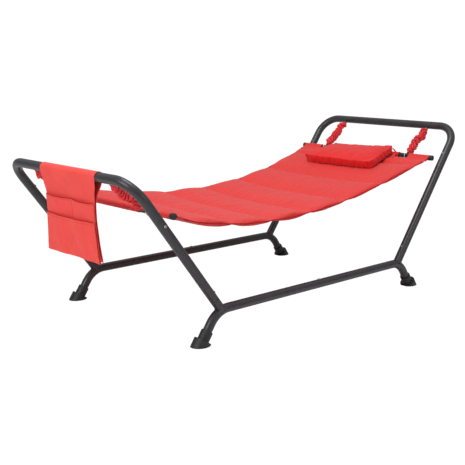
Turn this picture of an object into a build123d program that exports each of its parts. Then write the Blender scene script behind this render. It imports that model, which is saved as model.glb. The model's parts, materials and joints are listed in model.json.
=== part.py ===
from build123d import *
import os
from math import cos, radians, sin, tan

# A padded hammock hung in a tubular steel stand, with a pillow and a hanging storage bag.
# Frame: +X runs to the head end, +Z is up, the origin is on the floor, midway along the overall
# length and width. Left is -Y and right is +Y, as for a person lying with the head at +X.

os.makedirs("parts", exist_ok=True)

# ---------------------------------------------------------------- driving dimensions (mm)
# Frame tube
TUBE_R = 19.0
TUBE_WALL = 1.5
SPIGOT_GAP = 0.15            # radial gap of a swaged spigot in its socket
SPIGOT_LENGTH = 45.0
SHOULDER = 4.0               # length over which a tube necks down to its spigot
JOINT_GROOVE = 1.2           # width of the fine groove where the neck begins

# Stand
SIDE_Y = 435.0               # tube axes of the two side frames
RAIL_Z = 126.0               # axis height of the floor rails
KNEE_X = 568.0               # from the base's middle to where an upright's axis meets the rail's
LEG_CORNER = 20.0            # the leg's bend starts from a corner this far beyond the knee
LEG_DROP = 56.0              # leg's slope below the floor plane, degrees
LEG_BEND_R = 110.0
LEG_CLEAR = 20.0             # from the floor to the tube's end, along the leg
SPLICE_X = -8.0              # joint of the two halves of a rail, from the base's middle
UPRIGHT_LEAN = {"foot": 37.6, "head": 35.85}        # from the vertical, degrees
UPRIGHT_LENGTH = {"foot": 679.0, "head": 773.0}     # rail axis to crossbar axis
STUB_LENGTH = 60.0           # rail axis to the lower joint, along the upright
TOP_DROP = 185.0             # crossbar axis to the upper joint, along the upright
TOP_BEND_R = 100.0

# Fasteners: self-tapping screws through a tube's wall into the spigot inside it
SCREW_R = 3.0
SCREW_GAP = 0.3              # radial gap of a screw in its hole
SCREW_REACH = 8.0            # from the tube's surface to the screw's tip
SCREW_HEAD_R = 6.0
SCREW_HEAD_H = 3.0
SCREW_HEAD_GAP = 0.1         # from the tube's surface to the underside of the head
SCREW_DOME = 25.0            # slope of the head's side, degrees
JOINT_SCREW_OFFSET = 22.0    # from an upright's joint to its screw
SIDE_SCREW_OFFSET = 28.0     # from a foot upright's upper joint down to its side screw
RAIL_SCREW_OFFSET = 14.0     # from a rail's joint to its screw
WELD_SIZE = 2.5

# Foot caps
CAP_COLLAR_R = 24.0
CAP_FLARE_R = 36.0
CAP_COLLAR_TOP = 62.0        # both are distances from the floor along the leg's axis
CAP_FLARE_TOP = 22.0
CAP_GAP = 0.05

# Spreader bars and bed
STRAP_Y = 270.0
STRAP_LENGTH = {"foot": 242.0, "head": 234.0}       # crossbar axis to spreader bar axis
STRAP_DIP = {"foot": 36.4, "head": 37.4}            # strap's slope below the horizontal, degrees
BAR_R = 11.0
BAR_WALL = 1.2
BAR_HALF = 424.0
END_CAP_SKIRT = 2.0          # thickness of the cap's skirt outside the bar
END_CAP_LENGTH = 15.0
END_CAP_THICK = 3.0          # cap's end wall
END_CAP_ROUND = 2.5
HEM_HALF = 410.0
HEM_GAP = 0.3
HEM_WALL = 1.8
HEM_REACH = 42.0             # bar axis to the bed's padded edge
HEM_TAB = 5.0                # thickness of the flat strip between sleeve and bed
WINDOW = (212.0, 293.0)      # cut-outs in the sleeve, from the middle line
WINDOW_DEPTH = 25.0
BED_HALF = 412.0
BED_BOW = 48.0               # how far each long side pulls in at mid length
BED_THICK = 22.0
BED_SAG = 115.0

# Suspension straps
EYE_R = 6.5                  # wire eye under the crossbar, centre line
EYE_WIRE_R = 2.2
EYE_STAND = 4.0              # crossbar surface to the eye's centre
RING_R = 5.2
RING_WIRE_R = 2.0
SHANK = 14.0                 # straight part of ring and hook inside the elastic
HOOK_CLEAR = 2.2             # from the bar's surface to the hook's, with the hook centred
HOOK_WIRE_R = 2.2
HOOK_SLACK = 1.8             # the hook's centre lies this far past the bar's axis
HOOK_SWEEP = 265.0           # degrees of the hook's ring
ELASTIC_R = 7.0
ELASTIC_GAP = 1.0            # from the ring's or hook's wire to the elastic's end
COVER_R = 17.0
COVER_GAP = 0.3
SHANK_GAP = 0.05

# Pillow
PILLOW_LENGTH = 255.0        # along the bed
PILLOW_HALF = 205.0
PILLOW_THICK = 42.0
PILLOW_PAST_BAR = 14.0
PILLOW_RISE = 16.0           # bar axis to the pillow's underside, square to the bed
PILLOW_EDGE = 16.0
TIE_Y = 221.0
TIE_WIDTH = 12.0
TIE_WALL = 2.0
TIE_GAP = 0.5

# Storage bag
BAG_LEFT = -201.0
BAG_RIGHT = 177.0
BAG_GAP = 0.5
BAG_SKIN = 1.6
BAG_SEAM_DROP = 92.0         # crossbar axis to the seam that closes the sleeve
BAG_BOTTOM_DROP = 324.0
SEAM_ALLOWANCE = 8.0
UPPER_POCKET_DROP = 102.0    # crossbar axis to the pockets' mouths
LOWER_POCKET_DROP = 173.0
UPPER_POCKET_DEPTH = 66.0
UPPER_POCKETS = 2
LOWER_POCKETS = 2
UPPER_POCKET_SPACE = 5.0
LOWER_POCKET_SPACE = 12.0    # reaches out past the row above, so that a hand gets in

# ---------------------------------------------------------------- places worked out from them
SIDES = {"left": -1, "right": 1}
ENDS = {"foot": -1, "head": 1}
SPIGOT_R = TUBE_R - TUBE_WALL - SPIGOT_GAP
TUBE_BORE_R = TUBE_R - TUBE_WALL
SPIGOT_BORE_R = SPIGOT_R - TUBE_WALL
SLEEVE_R = TUBE_R + BAG_GAP + BAG_SKIN
END_CAP_R = BAR_R + END_CAP_SKIRT
EYE_REACH = TUBE_R + EYE_STAND      # crossbar axis to the eye's centre
HOOK_BORE_R = BAR_R + HOOK_CLEAR


def end_reach(end):
    """How far the end's crossbar axis lies from the middle of the base, along X."""
    return KNEE_X + UPRIGHT_LENGTH[end] * sin(radians(UPRIGHT_LEAN[end]))


# The bag's sleeve makes the foot end the wider one by its skin and gap.
MID_X = (end_reach("foot") + SLEEVE_R - end_reach("head") - TUBE_R) / 2


def upright_axis(end):
    """Unit direction up an end's uprights."""
    lean = radians(UPRIGHT_LEAN[end])
    return Vector(ENDS[end] * sin(lean), 0, cos(lean))


def upright_normal(end):
    """Unit direction square to an end's uprights, inwards and up."""
    lean = radians(UPRIGHT_LEAN[end])
    return Vector(-ENDS[end] * cos(lean), 0, sin(lean))


def upright_point(end, side, along):
    """Point on an upright's axis at a distance from the rail's axis."""
    foot = Vector(MID_X + ENDS[end] * KNEE_X, SIDES[side] * SIDE_Y, RAIL_Z)
    return foot + upright_axis(end) * along


def crossbar(end, y=0.0):
    """Point on a crossbar's axis."""
    at = upright_point(end, "left", UPRIGHT_LENGTH[end])
    return Vector(at.X, y, at.Z)


def strap_axis(end):
    """Unit direction down an end's straps, from crossbar to spreader bar."""
    dip = radians(STRAP_DIP[end])
    return Vector(-ENDS[end] * cos(dip), 0, -sin(dip))


def strap_point(end, y, along):
    """Point on a strap's axis at a distance from the crossbar's axis."""
    return crossbar(end, y) + strap_axis(end) * along


def bar_point(end, y=0.0):
    """Point on a spreader bar's axis."""
    return strap_point(end, y, STRAP_LENGTH[end])


def leg_axis(end):
    """Unit direction down an end's legs."""
    drop = radians(LEG_DROP)
    return Vector(ENDS[end] * cos(drop), 0, -sin(drop))


def leg_point(end, side, above):
    """Point on a leg's axis at a distance from the floor, along the leg."""
    x = MID_X + ENDS[end] * (KNEE_X + LEG_CORNER + RAIL_Z / tan(radians(LEG_DROP)))
    return Vector(x, SIDES[side] * SIDE_Y, 0) - leg_axis(end) * above


def save(piece, name):
    """Label a finished piece and write its STEP file."""
    piece.label = name
    export_step(piece, f"parts/{name}.step")


def add_spigot(at, direction):
    """Neck the tube down at a joint and carry it on as a spigot, inside the current part."""
    with BuildSketch(Plane(origin=at - direction * SHOULDER, z_dir=direction)) as neck:
        Circle(TUBE_R - TUBE_WALL / 2)
        Circle(SPIGOT_BORE_R, mode=Mode.SUBTRACT)
    extrude(neck.sketch, amount=SHOULDER)
    with BuildSketch(Plane(origin=at - direction * SHOULDER / 2, z_dir=direction)) as spigot:
        Circle(SPIGOT_R)
        Circle(SPIGOT_BORE_R, mode=Mode.SUBTRACT)
    extrude(spigot.sketch, amount=SPIGOT_LENGTH + SHOULDER / 2)
    with BuildSketch(Plane(origin=at - direction * JOINT_GROOVE, z_dir=direction)) as groove:
        Circle(TUBE_R + JOINT_GROOVE)
        Circle(TUBE_R - TUBE_WALL / 2, mode=Mode.SUBTRACT)
    extrude(groove.sketch, amount=JOINT_GROOVE, mode=Mode.SUBTRACT)


def drill(at, direction):
    """Drill a screw's hole through the current part on one side of its tube."""
    with Locations(Plane(origin=at, z_dir=direction)):
        Cylinder(
            SCREW_R + SCREW_GAP, 2 * TUBE_R, align=(Align.CENTER, Align.CENTER, Align.MIN), mode=Mode.SUBTRACT
        )


# ---------------------------------------------------------------- base rails with their legs
rail_screw_x = MID_X + SPLICE_X + RAIL_SCREW_OFFSET


def rail_path(end, side):
    """The corners of a rail's axis, from the splice over the bend to the leg's end."""
    y = SIDES[side] * SIDE_Y
    splice = Vector(MID_X + SPLICE_X, y, RAIL_Z)
    corner = Vector(MID_X + ENDS[end] * (KNEE_X + LEG_CORNER), y, RAIL_Z)
    return [splice, corner, leg_point(end, side, LEG_CLEAR)]


def rail_bar(end, side, radius):
    """A solid bar of some radius along a rail's axis, to cut or shape other pieces with."""
    points = rail_path(end, side)
    with BuildPart() as bar:
        with BuildLine():
            FilletPolyline(*points, radius=LEG_BEND_R)
        with BuildSketch(Plane(origin=points[0], z_dir=points[1] - points[0])):
            Circle(radius)
        sweep()
    return bar.part


for end in ENDS:
    for side in SIDES:
        points = rail_path(end, side)
        with BuildPart() as rail:
            with BuildLine():
                FilletPolyline(*points, radius=LEG_BEND_R)
            with BuildSketch(Plane(origin=points[0], z_dir=points[1] - points[0])):
                Circle(TUBE_R)
                Circle(TUBE_BORE_R, mode=Mode.SUBTRACT)
            sweep()
            if end == "foot":
                add_spigot(points[0], Vector(1, 0, 0))
            drill(Vector(rail_screw_x, points[0].Y, RAIL_Z), Vector(0, 0, 1))
        save(rail.part, f"base_rail_{end}_{side}")

# ---------------------------------------------------------------- uprights: stub, tube and weld
lower_screw = STUB_LENGTH + JOINT_SCREW_OFFSET
for end in ENDS:
    upper_joint = UPRIGHT_LENGTH[end] - TOP_DROP
    upper_screw = upper_joint + JOINT_SCREW_OFFSET
    for side in SIDES:
        rail_solid = rail_bar(end, side, TUBE_R)
        with BuildPart() as stub:
            with BuildSketch(Plane(origin=upright_point(end, side, 0), z_dir=upright_axis(end))):
                Circle(TUBE_R)
                Circle(TUBE_BORE_R, mode=Mode.SUBTRACT)
            extrude(amount=STUB_LENGTH)
            add_spigot(upright_point(end, side, STUB_LENGTH), upright_axis(end))
            add(rail_solid, mode=Mode.SUBTRACT)
            drill(upright_point(end, side, lower_screw), upright_normal(end))
        save(stub.part, f"upright_stub_{end}_{side}")

        with BuildPart() as tube:
            start = upright_point(end, side, STUB_LENGTH)
            with BuildSketch(Plane(origin=start, z_dir=upright_axis(end))):
                Circle(TUBE_R)
                Circle(TUBE_BORE_R, mode=Mode.SUBTRACT)
            extrude(amount=upper_joint - STUB_LENGTH)
            add_spigot(upright_point(end, side, upper_joint), upright_axis(end))
            drill(upright_point(end, side, lower_screw), upright_normal(end))
            drill(upright_point(end, side, upper_screw), upright_normal(end))
            if end == "foot":
                drill(upright_point(end, side, upper_joint - SIDE_SCREW_OFFSET), Vector(0, SIDES[side], 0))
        save(tube.part, f"upright_tube_{end}_{side}")



def weld_bead(end, side):
    """The bead round a stub: what lies within the weld's size of both tubes, outside them."""
    outer_rail = rail_bar(end, side, TUBE_R + WELD_SIZE)
    rail_solid = rail_bar(end, side, TUBE_R)
    with BuildPart() as bead:
        with BuildSketch(Plane(origin=upright_point(end, side, 0), z_dir=upright_axis(end))):
            Circle(TUBE_R + WELD_SIZE)
            Circle(TUBE_R, mode=Mode.SUBTRACT)
        extrude(amount=STUB_LENGTH)
        add(outer_rail, mode=Mode.INTERSECT)
        add(rail_solid, mode=Mode.SUBTRACT)
    return bead.part


with BuildPart() as welds:
    for end in ENDS:
        for side in SIDES:
            add(weld_bead(end, side))
save(welds.part, "weld_beads")

# ---------------------------------------------------------------- end frames: the bent U-shaped tops
for end in ENDS:
    upper_joint = UPRIGHT_LENGTH[end] - TOP_DROP
    corners = [
        upright_point(end, "left", upper_joint),
        upright_point(end, "left", UPRIGHT_LENGTH[end]),
        upright_point(end, "right", UPRIGHT_LENGTH[end]),
        upright_point(end, "right", upper_joint),
    ]
    with BuildPart() as top:
        with BuildLine():
            FilletPolyline(*corners, radius=TOP_BEND_R)
        with BuildSketch(Plane(origin=corners[0], z_dir=upright_axis(end))):
            Circle(TUBE_R)
            Circle(TUBE_BORE_R, mode=Mode.SUBTRACT)
        sweep()
        for side in SIDES:
            drill(upright_point(end, side, upper_joint + JOINT_SCREW_OFFSET), upright_normal(end))
    save(top.part, f"end_frame_{end}")

# ---------------------------------------------------------------- screws at the tube joints


def add_screw(at, direction):
    """A domed self-tapping screw in one wall of a tube, head on the side the direction points to."""
    with BuildSketch(Plane(origin=at + direction * TUBE_R, z_dir=-direction)) as shank:
        Circle(SCREW_R)
    extrude(shank.sketch, amount=SCREW_REACH)
    extrude(shank.sketch, amount=-SCREW_HEAD_H / 2)
    with BuildSketch(Plane(origin=at + direction * (TUBE_R + SCREW_HEAD_GAP), z_dir=direction)) as head:
        Circle(SCREW_HEAD_R)
    extrude(head.sketch, amount=SCREW_HEAD_H, taper=SCREW_DOME)


rail_places = [
    (Vector(rail_screw_x, SIDES[side] * SIDE_Y, RAIL_Z), Vector(0, 0, 1)) for side in SIDES
]
lower_places = [
    (upright_point(end, side, lower_screw), upright_normal(end)) for end in ENDS for side in SIDES
]
upper_places = [
    (upright_point(end, side, UPRIGHT_LENGTH[end] - TOP_DROP + JOINT_SCREW_OFFSET), upright_normal(end))
    for end in ENDS
    for side in SIDES
]
side_screw = UPRIGHT_LENGTH["foot"] - TOP_DROP - SIDE_SCREW_OFFSET
side_places = [
    (upright_point("foot", side, side_screw), Vector(0, SIDES[side], 0)) for side in SIDES
]
joint_groups = {
    "rail_screws": rail_places,
    "upright_lower_screws": lower_places,
    "upright_upper_screws": upper_places,
    "foot_upright_side_screws": side_places,
}
for name, places in joint_groups.items():
    with BuildPart() as screws:
        for at, direction in places:
            add_screw(at, direction)
    save(screws.part, name)

# ---------------------------------------------------------------- plastic foot caps
for end in ENDS:
    for side in SIDES:
        leg_plane = Plane(
            origin=leg_point(end, side, 0), x_dir=(0, SIDES[side], 0), z_dir=-leg_axis(end)
        )
        skirt = 2 * CAP_FLARE_R
        with BuildPart() as cap:
            for radius, top in ((CAP_FLARE_R, CAP_FLARE_TOP), (CAP_COLLAR_R, CAP_COLLAR_TOP)):
                with BuildSketch(leg_plane.offset(-skirt)):
                    Circle(radius)
                extrude(amount=skirt + top)
            with BuildSketch(leg_plane.offset(LEG_CLEAR)):
                Circle(TUBE_R + CAP_GAP)
            extrude(amount=CAP_COLLAR_TOP, mode=Mode.SUBTRACT)
            split(bisect_by=Plane.XY, keep=Keep.TOP)
        save(cap.part, f"foot_cap_{end}_{side}")

# ---------------------------------------------------------------- wire eyes welded under the crossbars


def ring_about(centre, normal, radius, wire):
    """A closed wire ring, as its own part."""
    with BuildPart() as ring:
        with Locations(Plane(origin=centre, z_dir=normal)):
            Torus(radius, wire)
    return ring.part


with BuildPart() as eyes:
    for end in ENDS:
        for y in (-STRAP_Y, STRAP_Y):
            add(ring_about(strap_point(end, y, EYE_REACH), Vector(0, 1, 0), EYE_R, EYE_WIRE_R))
        with BuildSketch(Plane(origin=crossbar(end), z_dir=(0, 1, 0))):
            Circle(TUBE_R)
        extrude(amount=STRAP_Y + 2 * EYE_R, both=True, mode=Mode.SUBTRACT)
save(eyes.part, "crossbar_eyes")

# ---------------------------------------------------------------- suspension straps
ring_reach = EYE_REACH + EYE_R                       # crossbar axis to a strap's pivot
for end in ENDS:
    along = strap_axis(end)
    hook_reach = STRAP_LENGTH[end] + HOOK_SLACK - HOOK_BORE_R - HOOK_WIRE_R
    elastic_start = ring_reach + RING_R + RING_WIRE_R + ELASTIC_GAP
    elastic_end = hook_reach - HOOK_WIRE_R - ELASTIC_GAP
    for side in SIDES:
        y = SIDES[side] * STRAP_Y
        square = along.cross(Vector(0, 1, 0))
        with BuildPart() as ring:
            add(ring_about(strap_point(end, y, ring_reach), square, RING_R, RING_WIRE_R))
            with BuildSketch(Plane(origin=strap_point(end, y, ring_reach + RING_R), z_dir=along)):
                Circle(RING_WIRE_R)
            extrude(amount=SHANK)
        save(ring.part, f"strap_ring_{end}_{side}")

        centre = strap_point(end, y, STRAP_LENGTH[end] + HOOK_SLACK)
        hook_plane = Plane(origin=centre, x_dir=-along, z_dir=(0, ENDS[end], 0))
        with BuildPart() as hook:
            with BuildLine(hook_plane) as wire:
                CenterArc((0, 0), HOOK_BORE_R + HOOK_WIRE_R, 0, HOOK_SWEEP)
            with BuildSketch(Plane(origin=wire.line @ 0, z_dir=wire.line % 0)):
                Circle(HOOK_WIRE_R)
            sweep()
            with BuildSketch(Plane(origin=strap_point(end, y, hook_reach - SHANK), z_dir=along)):
                Circle(HOOK_WIRE_R)
            extrude(amount=SHANK)
        save(hook.part, f"strap_hook_{end}_{side}")

        with BuildPart() as elastic:
            with BuildSketch(Plane(origin=strap_point(end, y, elastic_start), z_dir=along)):
                Circle(ELASTIC_R)
            extrude(amount=elastic_end - elastic_start)
            with BuildSketch(Plane(origin=strap_point(end, y, ring_reach), z_dir=along)):
                Circle(RING_WIRE_R + SHANK_GAP)
            extrude(amount=RING_R + SHANK + SHANK_GAP, mode=Mode.SUBTRACT)
            with BuildSketch(Plane(origin=strap_point(end, y, hook_reach), z_dir=-along)):
                Circle(HOOK_WIRE_R + SHANK_GAP)
            extrude(amount=SHANK + SHANK_GAP, mode=Mode.SUBTRACT)
        save(elastic.part, f"strap_elastic_{end}_{side}")

        with BuildPart() as cover:
            with BuildSketch(Plane(origin=strap_point(end, y, elastic_start), z_dir=along)):
                Circle(COVER_R)
                Circle(ELASTIC_R + COVER_GAP, mode=Mode.SUBTRACT)
            extrude(amount=elastic_end - elastic_start)
        save(cover.part, f"strap_cover_{end}_{side}")

# ---------------------------------------------------------------- spreader bars and their end caps
for end in ENDS:
    with BuildPart() as bar:
        with BuildSketch(Plane(origin=bar_point(end), z_dir=(0, 1, 0))):
            Circle(BAR_R)
            Circle(BAR_R - BAR_WALL, mode=Mode.SUBTRACT)
        extrude(amount=BAR_HALF, both=True)
    save(bar.part, f"spreader_bar_{end}")
    for side in SIDES:
        outward = Vector(0, SIDES[side], 0)
        tip = bar_point(end, SIDES[side] * (BAR_HALF + END_CAP_THICK))
        with BuildPart() as cap:
            with BuildSketch(Plane(origin=tip, z_dir=-outward)):
                Circle(END_CAP_R)
            extrude(amount=END_CAP_LENGTH)
            with BuildSketch(Plane(origin=bar_point(end, SIDES[side] * BAR_HALF), z_dir=-outward)):
                Circle(BAR_R + CAP_GAP)
            extrude(amount=END_CAP_LENGTH, mode=Mode.SUBTRACT)
            rim = cap.faces().sort_by(Axis.Y)[-1 if side == "right" else 0]
            fillet(rim.edges(), END_CAP_ROUND)
        save(cap.part, f"bar_end_cap_{end}_{side}")

# ---------------------------------------------------------------- padded bed and its hems
foot_bar = bar_point("foot")
head_bar = bar_point("head")
bed_span = head_bar.X - foot_bar.X


def bed_height(x):
    """Height of the bed's middle surface, a parabola hung from the two spreader bars."""
    share = (x - foot_bar.X) / bed_span
    return foot_bar.Z + (head_bar.Z - foot_bar.Z) * share - 4 * BED_SAG * share * (1 - share)


def bed_slope(x):
    """Slope of the same parabola."""
    share = (x - foot_bar.X) / bed_span
    return (head_bar.Z - foot_bar.Z - 4 * BED_SAG * (1 - 2 * share)) / bed_span


bed_start = foot_bar.X + HEM_REACH
bed_stop = head_bar.X - HEM_REACH
bed_middle = (bed_start + bed_stop) / 2
tangents_meet = bed_height(bed_start) + bed_slope(bed_start) * (bed_middle - bed_start)
with BuildPart() as bed:
    with BuildSketch(Plane.XZ):
        with BuildLine():
            for rise in (-BED_THICK / 2, BED_THICK / 2):
                Bezier(
                    (bed_start, bed_height(bed_start) + rise),
                    (bed_middle, tangents_meet + rise),
                    (bed_stop, bed_height(bed_stop) + rise),
                )
            for x in (bed_start, bed_stop):
                Line((x, bed_height(x) - BED_THICK / 2), (x, bed_height(x) + BED_THICK / 2))
        make_face()
    extrude(amount=BED_HALF, both=True)
    with BuildSketch(Plane.XY):
        with BuildLine():
            for y in (-BED_HALF, BED_HALF):
                waist = y * (1 - BED_BOW / BED_HALF)
                ThreePointArc((bed_start, y), (bed_middle, waist), (bed_stop, y))
            Line((bed_start, -BED_HALF), (bed_start, BED_HALF))
            Line((bed_stop, -BED_HALF), (bed_stop, BED_HALF))
        make_face()
    extrude(amount=2 * RAIL_Z + UPRIGHT_LENGTH["head"], mode=Mode.INTERSECT)
save(bed.part, "padded_bed")

sleeve_r = BAR_R + HEM_GAP + HEM_WALL
for end in ENDS:
    edge_x = bar_point(end).X - ENDS[end] * HEM_REACH
    edge = Vector(edge_x, 0, bed_height(edge_x))
    across = (edge - bar_point(end)).normalized()
    reach = HEM_REACH / abs(across.X) + HEM_TAB
    hem_plane = Plane(origin=bar_point(end), x_dir=across, z_dir=(0, 1, 0))
    with BuildPart() as hem:
        with BuildSketch(hem_plane):
            Circle(sleeve_r)
            with Locations((reach / 2, 0)):
                Rectangle(reach, HEM_TAB)
            Circle(BAR_R + HEM_GAP, mode=Mode.SUBTRACT)
        extrude(amount=HEM_HALF, both=True)
        for side in SIDES.values():
            with BuildSketch(hem_plane.offset(side * (WINDOW[0] + WINDOW[1]) / 2)):
                with Locations((WINDOW_DEPTH - 2 * sleeve_r, 0)):
                    Rectangle(4 * sleeve_r, 4 * sleeve_r)
            extrude(amount=(WINDOW[1] - WINDOW[0]) / 2, both=True, mode=Mode.SUBTRACT)
        add(bed.part, mode=Mode.SUBTRACT)
    save(hem.part, f"bed_hem_{end}")

# ---------------------------------------------------------------- pillow and its ties
pillow_front_x = head_bar.X - PILLOW_LENGTH
pillow_front = Vector(pillow_front_x, 0, bed_height(pillow_front_x))
inward = (pillow_front - head_bar).normalized()
pillow_up = Vector(0, 1, 0).cross(inward)
pillow_plane = Plane(origin=head_bar + pillow_up * PILLOW_RISE, x_dir=inward, z_dir=pillow_up)
with BuildPart() as pillow:
    with BuildSketch(pillow_plane):
        with Locations((PILLOW_LENGTH / 2 - PILLOW_PAST_BAR, 0)):
            RectangleRounded(PILLOW_LENGTH, 2 * PILLOW_HALF, PILLOW_EDGE)
    extrude(amount=PILLOW_THICK)
    fillet(pillow.faces().sort_by(Axis(head_bar, pillow_up))[-1].edges(), PILLOW_EDGE / 2)
save(pillow.part, "pillow")

loop_r = BAR_R + TIE_GAP
tie_base = sleeve_r + TIE_GAP / 2                    # the tie's flat tail clears the hem by this
for side in SIDES:
    tie_origin = bar_point("head", SIDES[side] * TIE_Y)
    tail_plane = Plane(origin=tie_origin + pillow_up * tie_base, x_dir=inward, z_dir=pillow_up)
    tail_length = TIE_Y - PILLOW_HALF + TIE_WIDTH
    with BuildPart() as tie:
        with BuildSketch(Plane(origin=tie_origin, x_dir=inward, z_dir=(0, 1, 0))):
            Circle(loop_r + TIE_WALL)
            Circle(loop_r, mode=Mode.SUBTRACT)
        extrude(amount=TIE_WIDTH / 2, both=True)
        with BuildSketch(tail_plane):
            inner_side = tail_plane.to_local_coords(tie_origin - Vector(0, SIDES[side], 0)).Y
            with Locations((0, inner_side * (tail_length - TIE_WIDTH) / 2)):
                Rectangle(TIE_WIDTH, tail_length)
        extrude(amount=PILLOW_RISE - tie_base)
    save(tie.part, f"pillow_tie_{side}")

# ---------------------------------------------------------------- storage bag over the foot crossbar
bag_middle = (BAG_LEFT + BAG_RIGHT) / 2
bag_width = BAG_RIGHT - BAG_LEFT
bag_plane = Plane(origin=crossbar("foot", bag_middle), x_dir=(1, 0, 0), z_dir=(0, -1, 0))
sleeve_bore_r = TUBE_R + BAG_GAP
outer_apex = BAG_SEAM_DROP * SLEEVE_R / sleeve_bore_r


def add_teardrop(radius, apex, mode):
    """A circle with two tangents that meet at a point straight below it."""
    lift = radius * radius / apex
    side = (radius * radius - lift * lift) ** 0.5
    Circle(radius, mode=mode)
    Polygon((side, -lift), (0, -apex), (-side, -lift), align=None, mode=mode)


with BuildPart() as sleeve:
    with BuildSketch(bag_plane):
        add_teardrop(SLEEVE_R, outer_apex, Mode.ADD)
        add_teardrop(sleeve_bore_r, BAG_SEAM_DROP, Mode.SUBTRACT)
        with Locations((0, -UPPER_POCKET_DROP)):
            Rectangle(2 * BAG_SKIN, SEAM_ALLOWANCE, align=(Align.CENTER, Align.MIN))
    extrude(amount=bag_width / 2, both=True)
save(sleeve.part, "bag_sleeve")

with BuildPart() as back:
    with BuildSketch(bag_plane):
        with Locations((0, -UPPER_POCKET_DROP)):
            Rectangle(2 * BAG_SKIN, BAG_BOTTOM_DROP - UPPER_POCKET_DROP, align=(Align.CENTER, Align.MAX))
    extrude(amount=bag_width / 2, both=True)
save(back.part, "bag_back")


def pocket(drop, depth, compartments, room):
    """An open-topped row of pockets on the outer face of the bag's back, split by stitched walls."""
    space = (bag_width - BAG_SKIN) / compartments - BAG_SKIN
    front = Plane(origin=bag_plane.origin - Vector(BAG_SKIN, 0, drop), x_dir=(0, -1, 0), z_dir=(-1, 0, 0))
    with BuildPart() as row:
        with BuildSketch(front):
            Rectangle(bag_width, depth, align=(Align.CENTER, Align.MAX))
        extrude(amount=room + BAG_SKIN)
        with BuildSketch(front):
            with Locations((0, -(depth - BAG_SKIN) / 2)):
                with GridLocations(space + BAG_SKIN, 0, compartments, 1):
                    Rectangle(space, depth - BAG_SKIN)
        extrude(amount=room, mode=Mode.SUBTRACT)
    return row.part


upper_row = pocket(UPPER_POCKET_DROP, UPPER_POCKET_DEPTH, UPPER_POCKETS, UPPER_POCKET_SPACE)
save(upper_row, "bag_upper_pocket")
lower_depth = BAG_BOTTOM_DROP - LOWER_POCKET_DROP
save(pocket(LOWER_POCKET_DROP, lower_depth, LOWER_POCKETS, LOWER_POCKET_SPACE), "bag_lower_pocket")
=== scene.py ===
# %% [markdown]
# # A padded hammock on a steel stand
#
# This lesson dresses a finished CAD model. The steel stand, its screws, bars, hooks and plastic feet
# come in as they were designed, and get finishes. Everything sewn is made again here: the quilted
# bed and its hems, the pillow and its ties, the ruched strap covers and the hanging pocket bag.
# Every length is in metres, in the frame of the CAD model, so a piece is simply built where it is.

# %% Load the frame
import json
from math import cos, pi, radians, sin

import bpy
import numpy as np
from mathutils import Matrix, Vector


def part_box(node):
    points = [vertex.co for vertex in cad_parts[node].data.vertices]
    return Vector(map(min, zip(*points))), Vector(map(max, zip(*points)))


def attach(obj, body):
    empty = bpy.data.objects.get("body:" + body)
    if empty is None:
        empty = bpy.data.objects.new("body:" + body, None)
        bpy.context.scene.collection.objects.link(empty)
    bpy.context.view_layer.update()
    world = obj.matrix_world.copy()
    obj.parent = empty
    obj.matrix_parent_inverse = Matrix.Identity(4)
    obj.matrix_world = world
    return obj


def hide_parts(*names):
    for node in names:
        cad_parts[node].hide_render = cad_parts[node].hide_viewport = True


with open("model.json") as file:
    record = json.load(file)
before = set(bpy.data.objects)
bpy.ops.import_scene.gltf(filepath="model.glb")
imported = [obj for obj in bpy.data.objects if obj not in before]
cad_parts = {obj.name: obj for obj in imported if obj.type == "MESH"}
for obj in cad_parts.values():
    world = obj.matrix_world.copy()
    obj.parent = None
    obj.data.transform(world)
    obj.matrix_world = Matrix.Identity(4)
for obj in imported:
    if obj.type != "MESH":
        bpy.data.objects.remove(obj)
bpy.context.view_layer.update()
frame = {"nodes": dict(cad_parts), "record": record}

# %% [markdown]
# ## Camera, light and floor
#
# The camera stands low beside the foot end and looks along the bed. It is placed first, because all
# later judgements are made through it. Its three angles turn the three axes of the camera itself:
# a heading, a downward pitch and a very small roll. The light is that of a product studio: a white
# room that is brighter above, a soft panel overhead, one off the foot end and a narrow one to the
# side, so shadows stay pale and every tube still carries a long soft highlight.

# %% Camera
CAMERA_AT = Vector((-2.7063, -2.8048, 1.0956))
CAMERA_HEADING = radians(42.626)
CAMERA_PITCH = radians(11.770)
CAMERA_ROLL = radians(-0.206)
CAMERA_LENS = 65.37


def camera_matrix():
    """Right, up and back axes of the camera from its heading, pitch and roll, and its place."""
    ahead = Vector((sin(CAMERA_HEADING) * cos(CAMERA_PITCH),
                    cos(CAMERA_HEADING) * cos(CAMERA_PITCH), -sin(CAMERA_PITCH)))
    right = Vector((cos(CAMERA_HEADING), -sin(CAMERA_HEADING), 0))
    down = ahead.cross(right)
    rolled_right = right * cos(CAMERA_ROLL) + down * sin(CAMERA_ROLL)
    rolled_down = down * cos(CAMERA_ROLL) - right * sin(CAMERA_ROLL)
    axes = Matrix((rolled_right, -rolled_down, -ahead)).transposed()
    return Matrix.Translation(CAMERA_AT) @ axes.to_4x4()


camera = bpy.data.objects.new("camera", bpy.data.cameras.new("camera"))
camera.data.lens = CAMERA_LENS
camera.data.sensor_width = 36
camera.matrix_world = camera_matrix()
bpy.context.scene.collection.objects.link(camera)
bpy.context.scene.camera = camera

# %% Light
PANEL_AIM = Vector((0, 0, 0.4))


def area_light(name, at, size, power):
    """A square soft light at a point, turned to face the middle of the object."""
    light = bpy.data.lights.new(name, "AREA")
    light.size = size
    light.energy = power
    panel = bpy.data.objects.new(name, light)
    panel.location = at
    panel.rotation_euler = (PANEL_AIM - Vector(at)).to_track_quat("-Z", "Y").to_euler()
    bpy.context.scene.collection.objects.link(panel)


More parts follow.
